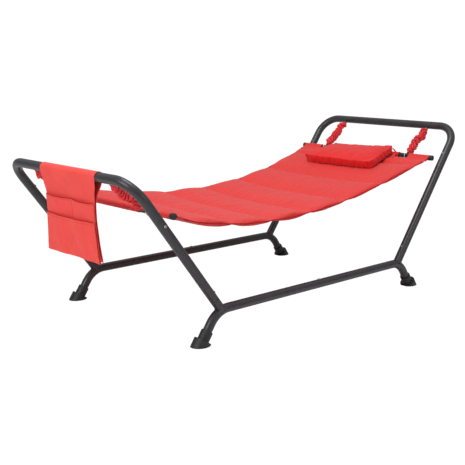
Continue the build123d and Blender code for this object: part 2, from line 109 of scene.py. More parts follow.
area_light("overhead_panel", (-0.5, -0.3, 3.0), 1.5, 40)
area_light("foot_panel", (-3.4, -0.4, 1.9), 1.4, 36)
area_light("side_strip", (0.6, -3.6, 1.8), 0.7, 10)
ROOM_LIGHT = 0.62
SEEN_WHITE = 1.05


def white_where_seen(tree, dim, output):
    """A backdrop that is plain white to look at, and lights the object by the dimmer shader."""
    seen = tree.nodes.new("ShaderNodeEmission" if "Material" in output.bl_idname else "ShaderNodeBackground")
    seen.inputs["Color"].default_value = (1, 1, 1, 1)
    seen.inputs["Strength"].default_value = SEEN_WHITE
    path = tree.nodes.new("ShaderNodeLightPath")
    mix = tree.nodes.new("ShaderNodeMixShader")
    tree.links.new(path.outputs["Is Camera Ray"], mix.inputs["Fac"])
    tree.links.new(dim, mix.inputs[1])
    tree.links.new(seen.outputs[0], mix.inputs[2])
    tree.links.new(mix.outputs[0], output.inputs["Surface"])


world = bpy.data.worlds.new("studio")
world.use_nodes = True
tree = world.node_tree
room = tree.nodes["Background"]
room.inputs["Strength"].default_value = ROOM_LIGHT
BELOW, ABOVE, FULL_HEIGHT = (0.42, 0.42, 0.44, 1), (1, 1, 1, 1), 0.75
sky = tree.nodes.new("ShaderNodeTexCoord")
height = tree.nodes.new("ShaderNodeSeparateXYZ")
shade = tree.nodes.new("ShaderNodeValToRGB")
shade.color_ramp.elements[0].position = 0.0
shade.color_ramp.elements[0].color = BELOW
shade.color_ramp.elements[1].position = FULL_HEIGHT
shade.color_ramp.elements[1].color = ABOVE
tree.links.new(sky.outputs["Generated"], height.inputs["Vector"])
tree.links.new(height.outputs["Z"], shade.inputs["Fac"])
tree.links.new(shade.outputs["Color"], room.inputs["Color"])
white_where_seen(tree, room.outputs[0], tree.nodes["World Output"])
bpy.context.scene.world = world
bpy.context.scene.view_settings.view_transform = "Standard"

# %% [markdown]
# ## Materials
#
# Each finish is a small node tree on a Principled shader. Patterns read Object coordinates, which on
# these pieces are simply metres in the row's frame, or the piece's own UV map, which is laid out in
# metres of cloth so that the weave has its true size wherever the cloth goes.

# %% Node helpers


def shader(name, color, roughness, **sockets):
    """A material with one Principled shader; constants go straight on the shader's sockets."""
    material = bpy.data.materials.new(name)
    material.use_nodes = True
    tree = material.node_tree
    principled = tree.nodes["Principled BSDF"]
    principled.inputs["Base Color"].default_value = (*color, 1)
    principled.inputs["Roughness"].default_value = roughness
    for socket, value in sockets.items():
        principled.inputs[socket.replace("_", " ")].default_value = value
    return material, tree, principled


def noise(tree, coordinate, scale, detail=3, stretch=(1, 1, 1)):
    """Noise on Object or UV coordinates, stretched along an axis by a Mapping node."""
    source = tree.nodes.new("ShaderNodeTexCoord")
    mapping = tree.nodes.new("ShaderNodeMapping")
    mapping.inputs["Scale"].default_value = stretch
    texture = tree.nodes.new("ShaderNodeTexNoise")
    texture.inputs["Scale"].default_value = scale
    texture.inputs["Detail"].default_value = detail
    tree.links.new(source.outputs[coordinate], mapping.inputs["Vector"])
    tree.links.new(mapping.outputs["Vector"], texture.inputs["Vector"])
    return texture.outputs["Fac"]


def ramp(tree, factor, low, high, start=0.3, stop=0.7):
    """Two colours or greys spread between two values of a factor."""
    node = tree.nodes.new("ShaderNodeValToRGB")
    node.color_ramp.elements[0].position = start
    node.color_ramp.elements[1].position = stop
    node.color_ramp.elements[0].color = (*low, 1)
    node.color_ramp.elements[1].color = (*high, 1)
    tree.links.new(factor, node.inputs["Fac"])
    return node.outputs["Color"]


def bump(tree, height, depth, strength=1.0, below=None):
    """A bump of a real depth in metres, stacked on another bump if one is given."""
    node = tree.nodes.new("ShaderNodeBump")
    node.inputs["Distance"].default_value = depth
    node.inputs["Strength"].default_value = strength
    tree.links.new(height, node.inputs["Height"])
    if below is not None:
        tree.links.new(below, node.inputs["Normal"])
    return node.outputs["Normal"]


def grey(value):
    """A grey as a colour."""
    return (value, value, value)


# %% [markdown]
# ### Hard finishes
#
# The tubes are powder coated: the powder melts into a satin skin with a slight orange peel. The feet
# and bar caps are moulded polypropylene with a fine spark grain. Screws are zinc plated, and the
# hooks and rings are bright wire. All of them read Object coordinates, since a CAD node has no UV map.

# %% Powder coat, plastic and bright metal


def powder_coat(name, color, roughness):
    """Baked powder paint: a faint orange peel under a fine grain, and gloss that varies a little."""
    material, tree, principled = shader(name, color, roughness)
    peel = noise(tree, "Object", 260, 2)
    grain = noise(tree, "Object", 1900, 2)
    normal = bump(tree, peel, 0.00002)
    tree.links.new(bump(tree, grain, 0.000003, below=normal), principled.inputs["Normal"])
    patches = noise(tree, "Object", 14, 4)
    low, high = roughness - 0.05, roughness + 0.07
    tree.links.new(ramp(tree, patches, grey(low), grey(high)), principled.inputs["Roughness"])
    dim = tuple(c * 0.86 for c in color)
    lit = tuple(c * 1.16 for c in color)
    tree.links.new(ramp(tree, patches, dim, lit), principled.inputs["Base Color"])
    return material


def moulded_plastic(name, color):
    """Spark-textured polypropylene: a fine pebble grain, and patches scuffed slightly paler."""
    material, tree, principled = shader(name, color, 0.5)
    pebble = noise(tree, "Object", 900, 3)
    tree.links.new(bump(tree, pebble, 0.00008), principled.inputs["Normal"])
    scuff = noise(tree, "Object", 60, 5)
    pale = tuple(c * 1.9 for c in color)
    tree.links.new(ramp(tree, scuff, color, pale, 0.45, 0.8), principled.inputs["Base Color"])
    tree.links.new(ramp(tree, scuff, grey(0.42), grey(0.6)), principled.inputs["Roughness"])
    return material


def plated_steel(name, color, roughness):
    """Zinc plate: metal with a cloudy gloss."""
    material, tree, principled = shader(name, color, roughness, Metallic=1.0)
    cloud = noise(tree, "Object", 300, 4)
    tree.links.new(ramp(tree, cloud, grey(roughness * 0.7), grey(roughness * 1.5)),
                   principled.inputs["Roughness"])
    return material


frame_paint = powder_coat("charcoal_powder_coat", (0.026, 0.026, 0.030), 0.33)
bar_paint = powder_coat("black_bar_paint", (0.012, 0.013, 0.015), 0.40)
foot_plastic = moulded_plastic("black_moulded_plastic", (0.012, 0.012, 0.014))
screw_zinc = plated_steel("zinc_plate", (0.30, 0.30, 0.32), 0.42)
hook_wire = plated_steel("bright_wire", (0.70, 0.70, 0.72), 0.18)
elastic_rubber = moulded_plastic("elastic_core", (0.02, 0.02, 0.02))

# %% [markdown]
# ### Woven polyester
#
# All the cloth is one plain-weave polyester, dyed the same red in batches that differ a little. Two
# crossed waves on the UV map are the threads, a small noise is the crumple that never irons out, and
# a sheen on the shader is the fuzz that lights up where the cloth turns away. On the strap covers the
# colour is also darkened deep in the gathers: painted shade.

# %% Woven polyester
THREAD = 0.0007
CLOTH_ROUGHNESS = 0.72
WAVE_PER_METRE = 2 * pi / 20      # a Wave texture repeats every 20 / (2 pi) units at scale 1
SHADE = (0.93, 0.78, 0.78)        # the deepest patches of dye, against the main colour
CREASE_PAINTED_SHADE = (0.42, 0.25, 0.25)   # painted shade: the colour deep inside a gather, against the main colour


def polyester(name, color, crumple=0.0012, paints_crease_shade=False, sheen=0.12, gloss=0.55):
    """Plain-weave polyester: two crossed sets of threads on the UV map, crumples and soft sheen.

    With painted crease shade, a point attribute, 0 deep in a gather and 1 on top, darkens the colour."""
    material, tree, principled = shader(name, color, CLOTH_ROUGHNESS, Sheen_Weight=sheen,
                                        Sheen_Roughness=0.45, Specular_IOR_Level=gloss)
    source = tree.nodes.new("ShaderNodeTexCoord")
    normal = None
    for direction in ("X", "Y"):
        thread = tree.nodes.new("ShaderNodeTexWave")
        thread.bands_direction = direction
        thread.inputs["Scale"].default_value = WAVE_PER_METRE / THREAD
        thread.inputs["Distortion"].default_value = 0.6
        tree.links.new(source.outputs["UV"], thread.inputs["Vector"])
        normal = bump(tree, thread.outputs["Fac"], THREAD * 0.12, 0.5, normal)
    folds = noise(tree, "UV", 38, 5)
    tree.links.new(bump(tree, folds, crumple, 0.5, normal), principled.inputs["Normal"])
    dye = noise(tree, "UV", 9, 4)
    dark = tuple(c * s for c, s in zip(color, SHADE))
    surface = ramp(tree, dye, dark, color, 0.25, 0.75)
    # Painted shade: the base colour is multiplied darker where the attribute marks a deep gather.
    if paints_crease_shade:
        crease_shade_mask = tree.nodes.new("ShaderNodeAttribute")
        crease_shade_mask.attribute_name = "crease_shade_mask"
        depth = ramp(tree, crease_shade_mask.outputs["Fac"], CREASE_PAINTED_SHADE, (1, 1, 1), 0.15, 0.75)
        mix = tree.nodes.new("ShaderNodeMix")
        mix.data_type, mix.blend_type = "RGBA", "MULTIPLY"
        mix.inputs["Factor"].default_value = 1.0
        tree.links.new(surface, mix.inputs["A"])
        tree.links.new(depth, mix.inputs["B"])
        surface = mix.outputs["Result"]
    tree.links.new(surface, principled.inputs["Base Color"])
    return material


bed_cloth = polyester("bed_polyester", (0.70, 0.024, 0.020))
pillow_cloth = polyester("pillow_polyester", (0.72, 0.012, 0.013), gloss=0.40)
strap_cloth = polyester("strap_polyester", (0.80, 0.020, 0.030), 0.0006, paints_crease_shade=True)
bag_cloth = polyester("bag_polyester", (0.88, 0.058, 0.045))
sewing_thread = polyester("sewing_thread", (0.40, 0.008, 0.012), 0.0002, sheen=0.0, gloss=0.2)
# Painted shade: a dark red for the thin tubes along the bed's long sides and the pocket mouths.
painted_shade_tape = polyester("painted_shade_tape", (0.46, 0.006, 0.010), 0.0002, sheen=0.0, gloss=0.2)

# %% Finish the CAD nodes
SLOT_FINISH = {
    "frame_tube": frame_paint,
    "bar_tube": bar_paint,
    "black_plastic": foot_plastic,
    "bright_screw": screw_zinc,
    "bright_hook": hook_wire,
    "elastic_cord": elastic_rubber,
}
for part in frame["record"]["subparts"]:
    finish = SLOT_FINISH.get(part["material_slot"])
    node = frame["nodes"][part["node"]]
    if finish is not None:
        node.data.materials.clear()
        node.data.materials.append(finish)

# %% [markdown]
# ## Surfaces from arrays
#
# Every sewn piece is a surface worked out as whole arrays: a point for each pair of two parameters.
# One helper turns such an array into a mesh with its UV map. Another makes fabric ripples as a sum
# of plane waves with seeded directions, so the same cloth comes out every time. A third lays a row
# of stitches along any path: modelled thread catches light where a drawn line would lie flat.

# %% Mesh helpers


def cloth_lengths(points):
    """Each point's place on the flat cloth: lengths measured along the rows and the columns."""
    along = np.linalg.norm(np.diff(points, axis=0), axis=2).mean(1)
    over = np.linalg.norm(np.diff(points, axis=1), axis=2).mean(0)
    down, across = np.meshgrid(np.r_[0, along.cumsum()], np.r_[0, over.cumsum()], indexing="ij")
    return np.stack([across, down], -1)


def strip_quads(first, second, closed):
    """Quads between two equal rows of point numbers, closed into a ring if asked."""
    if closed:
        first, second = np.r_[first, first[:1]], np.r_[second, second[:1]]
    return np.stack([first[:-1], second[:-1], second[1:], first[1:]], -1)


def build(name, points, quads, cloth_map):
    """A smooth mesh object at the origin from points, quads and a flat-cloth map in metres."""
    mesh = bpy.data.meshes.new(name)
    mesh.from_pydata(points.reshape(-1, 3).tolist(), [], quads.tolist())
    layer = mesh.uv_layers.new(name="cloth")
    flat = cloth_map.reshape(-1, 2)[quads.ravel()].astype(np.float32)
    layer.data.foreach_set("uv", flat.ravel())
    mesh.polygons.foreach_set("use_smooth", [True] * len(quads))
    mesh.update()
    piece = bpy.data.objects.new(name, mesh)
    bpy.context.scene.collection.objects.link(piece)
    return piece


def grid_piece(name, points, ring=False, cloth_map=None):
    """An open sheet or an open tube through an array of points (rows, columns, 3)."""
    rows, columns = points.shape[:2]
    index = np.arange(rows * columns).reshape(rows, columns)
    quads = np.concatenate([strip_quads(index[i], index[i + 1], ring) for i in range(rows - 1)])
    return build(name, points, quads, cloth_lengths(points) if cloth_map is None else cloth_map)


def sewn_shell(name, upper, lower):
    """Two skins of the same grid, sewn together along all four sides into one closed mesh."""
    rows, columns = upper.shape[:2]
    top = np.arange(rows * columns).reshape(rows, columns)
    low = top + rows * columns
    rim = np.r_[top[0, :-1], top[:-1, -1], top[-1, :0:-1], top[:0:-1, 0]]
    quads = [strip_quads(top[i], top[i + 1], False) for i in range(rows - 1)]
    quads += [strip_quads(low[i + 1], low[i], False) for i in range(rows - 1)]
    quads.append(strip_quads(rim, rim + rows * columns, True)[:, ::-1])
    flat = cloth_lengths(upper)
    return build(name, np.stack([upper, lower]), np.concatenate(quads), np.stack([flat, flat]))


def outwards(piece):
    """Turn all faces of a closed mesh outwards, if the volume they enclose comes out negative."""
    mesh = piece.data
    mesh.calc_loop_triangles()
    corner = np.zeros(len(mesh.loop_triangles) * 3, np.int32)
    mesh.loop_triangles.foreach_get("vertices", corner)
    a, b, c = points_of(piece)[corner.reshape(-1, 3)].transpose(1, 0, 2)
    if (a * np.cross(b, c)).sum() < 0:
        mesh.flip_normals()


def points_of(piece):
    """The piece's points as an array."""
    flat = np.zeros(len(piece.data.vertices) * 3, np.float32)
    piece.data.vertices.foreach_get("co", flat)
    return flat.reshape(-1, 3).astype(float)


def set_points(piece, points):
    """Write an array of points back into the piece's mesh."""
    piece.data.vertices.foreach_set("co", points.astype(np.float32).ravel())
    piece.data.update()


def ripple(u, v, length, seed, heading=0.0, spread=pi, waves=14):
    """Cloth ripples between about -1 and 1: plane waves of about one wavelength, headings seeded."""
    draw = np.random.default_rng(seed)
    total = np.zeros(np.broadcast(u, v).shape)
    for _ in range(waves):
        turn = heading + draw.uniform(-spread / 2, spread / 2)
        pitch = 2 * pi / (length * draw.uniform(0.7, 1.5))
        total += np.sin(pitch * (u * cos(turn) + v * sin(turn)) + draw.uniform(0, 2 * pi))
    return total / waves ** 0.5 / 1.4


def smoothstep(value, start, stop):
    """0 before start, 1 after stop, and an S-shaped rise between them."""
    share = np.clip((value - start) / (stop - start), 0, 1)
    return share * share * (3 - 2 * share)


def stitches(name, path, up, length=0.0034, gap=0.0014, thick=0.0009):
    """A row of stitches along a path: each is a short bead with four sides, pointed at both ends.

    The path is walked in equal steps of stitch and gap. A bead's radius is thick times the sine of
    its own length's share, so it dives into the cloth at each end."""
    legs = np.linalg.norm(np.diff(path, axis=0), axis=1)
    walked = np.r_[0, legs.cumsum()]
    starts = np.arange(gap, walked[-1] - length, length + gap)
    share = np.array([0.0, 0.25, 0.5, 0.75, 1.0])
    spots = starts[:, None] + share * length
    line = np.stack([np.interp(spots, walked, path[:, k]) for k in range(3)], -1)
    ahead = line[:, -1:] - line[:, :1]
    ahead = ahead / np.linalg.norm(ahead, axis=2, keepdims=True)
    side = np.cross(ahead, up)
    turn = np.linspace(0, 2 * pi, 4, endpoint=False) + pi / 4
    radius = thick * np.maximum(np.sin(pi * share), 0.12)
    ring = np.cos(turn)[:, None] * side[:, :, None, :] + np.sin(turn)[:, None] * np.array(up)
    points = line[:, :, None, :] + radius[None, :, None, None] * ring
    index = np.arange(points.size // 3).reshape(len(starts), 5, 4)
    after = np.roll(index, -1, 2)
    sides = np.stack([index[:, :-1], after[:, :-1], after[:, 1:], index[:, 1:]], -1).reshape(-1, 4)
    caps = np.concatenate([index[:, 0, ::-1], index[:, -1]])
    flat = points.reshape(-1, 3)[:, [1, 0]]
    row = build(name, points, np.concatenate([sides, caps]), flat)
    row.data.materials.append(sewing_thread)
    outwards(row)
    return row


def middle(node):
    """The middle of a CAD node's box."""
    low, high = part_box(node)
    return (np.array(low) + np.array(high)) / 2


# %% [markdown]
# ## Stuffing cloth with air
#
# Padded cloth keeps the length of its skins, so when it swells it pulls its seams together and throws
# small tension wrinkles. Drawing those by hand looks drawn. Instead the Cloth modifier blows each
# piece up with a little pressure, its seams pinned. A cap on how far any point may go keeps the piece
# in the space that it has, and the result is written into the mesh.

# %% Blow up a sewn piece
SIM_FRAMES = 20


def blow_up(piece, pinned, pressure, cap, slack=0.0, stiffness=12.0):
    """Cloth with pressure and pinned points; slack is the share by which the skin is cut larger.

    Each point ends at its start plus its simulated move, shortened where it is over the cap."""
    group = piece.vertex_groups.new(name="seams")
    group.add(np.flatnonzero(pinned).tolist(), 1.0, "REPLACE")
    start = points_of(piece)
    cloth = piece.modifiers.new("air", "CLOTH")
    settings = cloth.settings
    settings.quality = 4
    settings.mass = 0.3
    settings.tension_stiffness = settings.compression_stiffness = stiffness
    settings.shear_stiffness = stiffness / 3
    settings.bending_stiffness = 0.3
    settings.use_pressure = True
    settings.uniform_pressure_force = pressure
    settings.shrink_min = -slack
    settings.vertex_group_mass = "seams"
    settings.effector_weights.gravity = 0
    cloth.collision_settings.use_collision = False
    for step in range(1, SIM_FRAMES + 1):
        bpy.context.scene.frame_set(step)
    shaped = piece.evaluated_get(bpy.context.evaluated_depsgraph_get())
    moved = np.zeros(len(start) * 3, np.float32)
    shaped.data.vertices.foreach_get("co", moved)
    move = moved.reshape(-1, 3) - start
    far = np.linalg.norm(move, axis=1, keepdims=True)
    limit = cap * np.tanh(far / cap) / np.maximum(far, 1e-9)
    piece.modifiers.remove(cloth)
    bpy.context.scene.frame_set(1)
    piece.vertex_groups.clear()
    set_points(piece, start + move * limit)
    print(f"{piece.name}: {len(start)} points, furthest {far.max() * 1000:.1f} mm, cap {cap * 1000:.0f}")


def subdivide(piece, levels=1):
    """One smoothing subdivision, the same in the viewport and in the render."""
    smooth = piece.modifiers.new("smooth", "SUBSURF")
    smooth.levels = smooth.render_levels = levels


def wall(piece, thickness, offset=0.0):
    """Give a sheet the thickness of its cloth."""
    solid = piece.modifiers.new("wall", "SOLIDIFY")
    solid.thickness = thickness
    solid.offset = offset


def dress(piece, material, body, replaced=()):
    """Give a piece its material, its body, and the CAD nodes that it stands for."""
    piece.data.materials.append(material)
    if replaced:
        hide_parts(*replaced)
    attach(piece, body)


# %% [markdown]
# ## The quilted bed
#
# The bed is two skins of polyester with wadding between them, sewn together along cross seams. It
# hangs between the two spreader bars in the curve that any evenly loaded sheet takes, a parabola,
# and it also sags a little across its width. Its long sides pull inwards, because the pull of the
# bars spreads to the corners. The skins meet at the seams and swell between them.

# %% The bed's middle surface
foot_bar = middle("spreader_bar_foot")
head_bar = middle("spreader_bar_head")
bed_low, bed_high = (np.array(corner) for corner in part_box("padded_bed"))
bed_start, bed_stop, BED_HALF = bed_low[0], bed_high[0], bed_high[1]
bed_middle = (bed_start + bed_stop) / 2
BED_BOW = 0.048
BED_SAG = 0.115
CROSS_SAG = 0.022
SEAM_PITCH = 0.235
SEAMS = bed_middle + SEAM_PITCH * np.arange(-3, 4)
SEAM_NIP = 0.0065
NIP_REACH = 0.022
EDGE_SHARES = (0, 0.08, 0.25, 0.45, 0.62, 0.75, 0.88, 0.95, 1)
NEAR_HANG = (0, -0.014, -0.022, -0.019, -0.014, -0.006, 0.001, 0.002, 0)
FAR_HANG = (0, 0.010, 0.017, 0.014, 0.007, 0.001, -0.002, -0.002, 0)


def span_share(x):
    """How far along a point is from the foot bar's axis to the head bar's."""
    return (x - foot_bar[0]) / (head_bar[0] - foot_bar[0])


def bed_height(x):
    """Height of the bed's middle line: the chord between the bars less a parabola."""
    share = span_share(x)
    return foot_bar[2] + (head_bar[2] - foot_bar[2]) * share - 4 * BED_SAG * share * (1 - share)


def bed_half(x):
    """Half the bed's width: the sides bow in most at mid length, and nip in at each seam."""
    share = (x - bed_middle) / (bed_stop - bed_middle)
    nip = np.exp(-np.abs(x[..., None] - SEAMS) / NIP_REACH).sum(-1)
    return BED_HALF - BED_BOW * (1 - share ** 2) - SEAM_NIP * nip


def bed_surface(x, y):
    """Height of the middle surface: the middle line, less the sag across the width.

    The cloth isn't level across: one long side hangs lower and the other higher, by two tables of
    the share along, blended by the share across."""
    share = np.clip(span_share(x), 0, 1)
    across = CROSS_SAG * 4 * share * (1 - share) * (1 - (y / BED_HALF) ** 2)
    near, far = np.interp(share, EDGE_SHARES, NEAR_HANG), np.interp(share, EDGE_SHARES, FAR_HANG)
    tilt = np.where(y < 0, near, far) * np.abs(y / BED_HALF) ** 1.3
    return bed_height(x) - across + tilt


# %% The two skins
BED_COLUMNS = 96
CHANNEL_ROWS = 26
SEAM_GAP = 0.0014
RIM = 0.0035
FIRST_SWELL = 0.008


def bed_rows():
    """The x of every row: each channel is divided evenly, so that every seam has a row of its own."""
    lines = np.r_[bed_start, SEAMS, bed_stop]
    parts = [np.linspace(a, b, CHANNEL_ROWS if b - a > 0.15 else 8, endpoint=False)
             for a, b in zip(lines[:-1], lines[1:])]
    x = np.r_[np.concatenate(parts), bed_stop]
    after = np.clip(np.searchsorted(lines, x + 1e-6), 1, len(lines) - 1)
    arch = np.sin(pi * (x - lines[after - 1]) / (lines[after] - lines[after - 1]))
    return x, np.clip(arch, 0, 1)


def bed_skin(side):
    """One skin: the middle surface, moved up or down by half the seam and by an arch per channel."""
    rows, arch = bed_rows()
    share = np.linspace(-1, 1, BED_COLUMNS)
    x = rows[:, None] + 0 * share
    y = bed_half(rows)[:, None] * share
    full = np.sqrt(arch)[:, None] * (1 - share ** 8)
    half = SEAM_GAP + full * FIRST_SWELL + RIM * arch[:, None] * share ** 8
    z = bed_surface(x, y) + side * half
    return np.stack([x, y, z], -1), arch


upper, arch = bed_skin(1)
lower, _ = bed_skin(-1)
bed = sewn_shell("quilted_bed", upper, lower)
outwards(bed)
on_seam = np.repeat(arch < 0.02, BED_COLUMNS)
blow_up(bed, np.r_[on_seam, on_seam], pressure=5.5, cap=0.013, slack=0.016)

# %% [markdown]
# ### Gathers, seam thread and dark edge lines
#
# Cloth that is sewn down while it is stretched puckers beside the stitches. The tucks could be left
# to the simulation, but they are finer than its grid, so they are added to its result as ripples
# that fade away from each seam. Then come the thread itself, on both skins, and a thin dark tube
# along each long side: painted shade, standing for the shaded rim of the cloth.

# %% Gathers along the seams
GATHER = 0.0013
GATHER_REACH = 0.030


def gathers(points, seams):
    """Small tucks square to each seam: ripples along the seam that fade with the distance from it.

    The fade is a bell that is nought on the seam itself, so the stitched line stays straight."""
    away = np.abs(points[:, :1] - seams).min(1) / GATHER_REACH
    fade = away * np.exp(-away) * np.e
    tucks = ripple(points[:, 0], points[:, 1], 0.034, 41, pi / 2, 0.9)
    broad = ripple(points[:, 0], points[:, 1], 0.120, 43, 1.2, 1.8)
    return fade * (GATHER * tucks + 0.6 * GATHER * broad)


skins = points_of(bed)
tucks = gathers(skins, SEAMS)
skins[:, 2] += tucks
set_points(bed, skins)
print(f"gathers: up to {np.abs(tucks).max() * 1000:.1f} mm")
subdivide(bed)
dress(bed, bed_cloth, "bed", ["padded_bed"])


# %% Seam stitches and dark edge tubes (painted shade)
def shade_line_tube(name, path, radius, body, sides=10):
    """A thin dark tube carried along a path, its ends drawn to points: painted shade along an edge.

    The ring stands square to the path: its two directions are the cross products with the vertical."""
    ahead = np.gradient(path, axis=0)
    ahead /= np.linalg.norm(ahead, axis=1, keepdims=True)
    level = np.cross(ahead, (0.0, 0.0, 1.0))
    level /= np.maximum(np.linalg.norm(level, axis=1, keepdims=True), 1e-9)
    rise = np.cross(level, ahead)
    turn = np.linspace(0, 2 * pi, sides, endpoint=False)[None, :, None]
    ends = np.minimum(1, np.minimum(np.arange(len(path)), np.arange(len(path))[::-1]) / 2 + 0.02)
    ring = np.cos(turn) * level[:, None] + np.sin(turn) * rise[:, None]
    tube = grid_piece(name, path[:, None] + radius * ends[:, None, None] * ring, ring=True)
    outwards(tube)
    tube.data.materials.append(painted_shade_tape)
    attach(tube, body)


EDGE_MARGIN, THREAD_LIFT, PATH_POINTS = 0.004, 0.0006, 120
# Radius of the dark tubes that paint shade along the bed's long sides.
SHADE_LINE_R = 0.0024
for number, seam in enumerate(SEAMS):
    y = np.linspace(-1, 1, PATH_POINTS) * (bed_half(np.array([seam]))[0] - EDGE_MARGIN)
    x = np.full(PATH_POINTS, seam)
    for side, face in ((1, "top"), (-1, "under")):
        path = np.stack([x, y, bed_surface(x, y) + side * (SEAM_GAP + THREAD_LIFT)], -1)
        row = stitches(f"bed_seam_{number}_{face}", path, np.array([0.0, 0.0, 1.0]))
        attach(row, "bed")
# A thin dark tube along each long side: painted shade for the shaded rim.
for side, name in ((-1, "near"), (1, "far")):
    x = np.linspace(bed_start + 0.006, bed_stop - 0.006, 320)
    y = side * (bed_half(x) + 0.0008)
    path = np.stack([x, y, bed_surface(x, y)], -1)
    shade_line_tube(f"bed_shade_line_{name}", path, SHADE_LINE_R, "bed")
print("seams stitched:", len(SEAMS))

# %% [markdown]
# ## Hems over the spreader bars
#
# Each end of the bed runs on as a single layer, turns round its bar and is sewn down again. Two
# cut-outs leave the bar bare where the hooks take hold. The sleeve is one profile, a loop that
# narrows to a flat tab, carried along the bar. In the cut-outs only the tab goes on.

# %% Hem profile
BAR_R = 0.011
HEM_HALF = 0.410
HEM_SKIN = 0.0014
HEM_LOOP = BAR_R + 0.0012
WINDOWS = (0.216, 0.290)


def hem_axes(bar, edge_x):
    """Unit vectors from a bar towards the bed's edge, and square to that, upwards."""
    edge = np.array([edge_x, 0, bed_height(edge_x)])
    inward = (edge - bar * [1, 0, 1])
    reach = np.linalg.norm(inward)
    inward = inward / reach
    up = np.array([-inward[2], 0, inward[0]])
    return inward, up if up[2] > 0 else -up, reach


def hem_profile(reach, count=64):
    """A loop round the bar whose two ends meet in the flat tab that is sewn to the bed.

    The angle runs from just above the tab, over the top of the bar and back from below. Each point is
    a circle's point, then the two straight tails run in to the bed's edge."""
    turn = np.linspace(0.62, 2 * pi - 0.62, count)
    loop = np.stack([np.cos(turn), np.sin(turn)], -1) * HEM_LOOP
    tail = np.linspace(1, 0, 14, endpoint=False)[:, None]
    meet_top, meet_low = np.array([reach + 0.010, 0.0022]), np.array([reach + 0.010, -0.0022])
    neck = np.array([HEM_LOOP + 0.010, 0.0024])
    top = np.concatenate([meet_top * tail[:9] + neck * (1 - tail[:9]),
                          (neck * tail + loop[0] * (1 - tail))[1::3]])
    low = np.concatenate([(neck * [1, -1] * (1 - tail) + loop[-1] * tail)[1::3],
                          neck * [1, -1] * tail[:9] + meet_low * (1 - tail[:9])])
    return np.concatenate([top, loop, low])


# %% Build the sleeves, tabs and their seams
def carry(profile, bar, inward, up, y):
    """The profile's points carried to every y along the bar."""
    flat = profile[:, :1] * inward + profile[:, 1:] * up
    points = flat[:, None, :] + (bar * [1, 0, 1])[None, None, :] + 0 * y[None, :, None]
    points[..., 1] = y
    return points


hem_pieces = {}
for end, bar, edge_x in (("foot", foot_bar, bed_start), ("head", head_bar, bed_stop)):
    inward, up, reach = hem_axes(bar, edge_x)
    profile = hem_profile(reach)
    spans = {"left": (-HEM_HALF, -WINDOWS[1]), "middle": (-WINDOWS[0], WINDOWS[0]),
             "right": (WINDOWS[1], HEM_HALF)}
    for place, (a, b) in spans.items():
        y = np.linspace(a, b, max(24, int((b - a) / 0.005)))
        points = carry(profile, bar, inward, up, y)
        along = np.linspace(0, 1, len(profile))[:, None]
        pull = ripple(along * 0.10, y[None, :], 0.022, 31 + len(place), pi / 2, 0.7)
        on_tail = np.clip(np.abs(along - 0.5) * 2, 0, 1) ** 2
        lift = pull * (0.0005 + 0.0007 * on_tail)
        points += lift[..., None] * up
        sleeve = grid_piece(f"hem_sleeve_{end}_{place}", points)
        wall(sleeve, HEM_SKIN)
        stands = [f"bed_hem_{end}"] if place == "middle" else []
        dress(sleeve, bed_cloth, "bed", stands)
        hem_pieces[end, place] = sleeve
    for side in (-1, 1):
        y = np.linspace(side * WINDOWS[0] - side * 0.004, side * WINDOWS[1] + side * 0.004, 24)
        out = np.linspace(0.014 + 0.010, reach + 0.010, 14)
        tab = np.stack([out, np.zeros_like(out)], -1)
        points = carry(tab, bar, inward, up, y)
        slack = np.sin(pi * np.linspace(0, 1, len(y)))[None, :]
        dip = 0.006 * slack * (1 - np.linspace(0, 1, 14)[:, None])
        points += dip[..., None] * inward
        name = f"hem_tab_{end}_{'left' if side < 0 else 'right'}"
        strip = grid_piece(name, points)
        wall(strip, 0.0042)
        dress(strip, bed_cloth, "bed")
        flat = (round(abs(y[-1] - y[0]), 4), round(out[-1] - out[0], 4))
print("hem pieces:", len(hem_pieces))

# %% [markdown]
# ## The pillow
#
# The pillow is a boxed cushion: a top and a bottom panel joined by a narrow wall all round. It lies
# against the head bar, where two ties hold its back corners in, so its back is narrower and thinner
# than its front. The two seams of the wall are pinned, and air does the rest. A few broad ripples
# on the blown-up skin are the crumple of a pillow that has been slept on.

# %% The pillow's four corners
PILLOW_BACK = 0.014
PILLOW_LENGTH = 0.255
PILLOW_RISE = 0.016
PILLOW_WALL = 0.036
BACK_DROP = 0.018                # the pillow's back is thinner by this
BACK_DIP = 0.013                 # and its top dips by this midway between the ties
BACK_TILT = 0.010                # one back corner is lower than level by this, the other higher
FAR_FRONT = 0.008                # the far front corner is plumper by this, half of it downwards
FRONT_TUCK = 0.06                # the bottom panel is shorter than the top one by this share
front_x = head_bar[0] - PILLOW_LENGTH
pillow_front = np.array([front_x, 0, bed_height(front_x)])
head_axis = head_bar * [1, 0, 1]
pillow_in = (pillow_front - head_axis) / np.linalg.norm(pillow_front - head_axis)
pillow_up = np.array([-pillow_in[2], 0, pillow_in[0]])
pillow_up = pillow_up if pillow_up[2] > 0 else -pillow_up
FRONT_Y = (-0.234, 0.213)
BACK_Y = (-0.194, 0.194)


def pillow_point(back, across, rise):
    """A point from the share towards the back, the share across, and the height over the base."""
    y_low = FRONT_Y[0] + (BACK_Y[0] - FRONT_Y[0]) * back
    y_high = FRONT_Y[1] + (BACK_Y[1] - FRONT_Y[1]) * back
    y = y_low + (y_high - y_low) * across
    reach = (PILLOW_LENGTH - 0.012) * (1 - back) - PILLOW_BACK * back
    base = head_axis + pillow_in * reach[..., None] + pillow_up * (PILLOW_RISE + rise)[..., None]
    base[..., 1] = y
    return base


# %% Panels and boxed wall
PILLOW_ROWS, PILLOW_COLUMNS = 44, 70


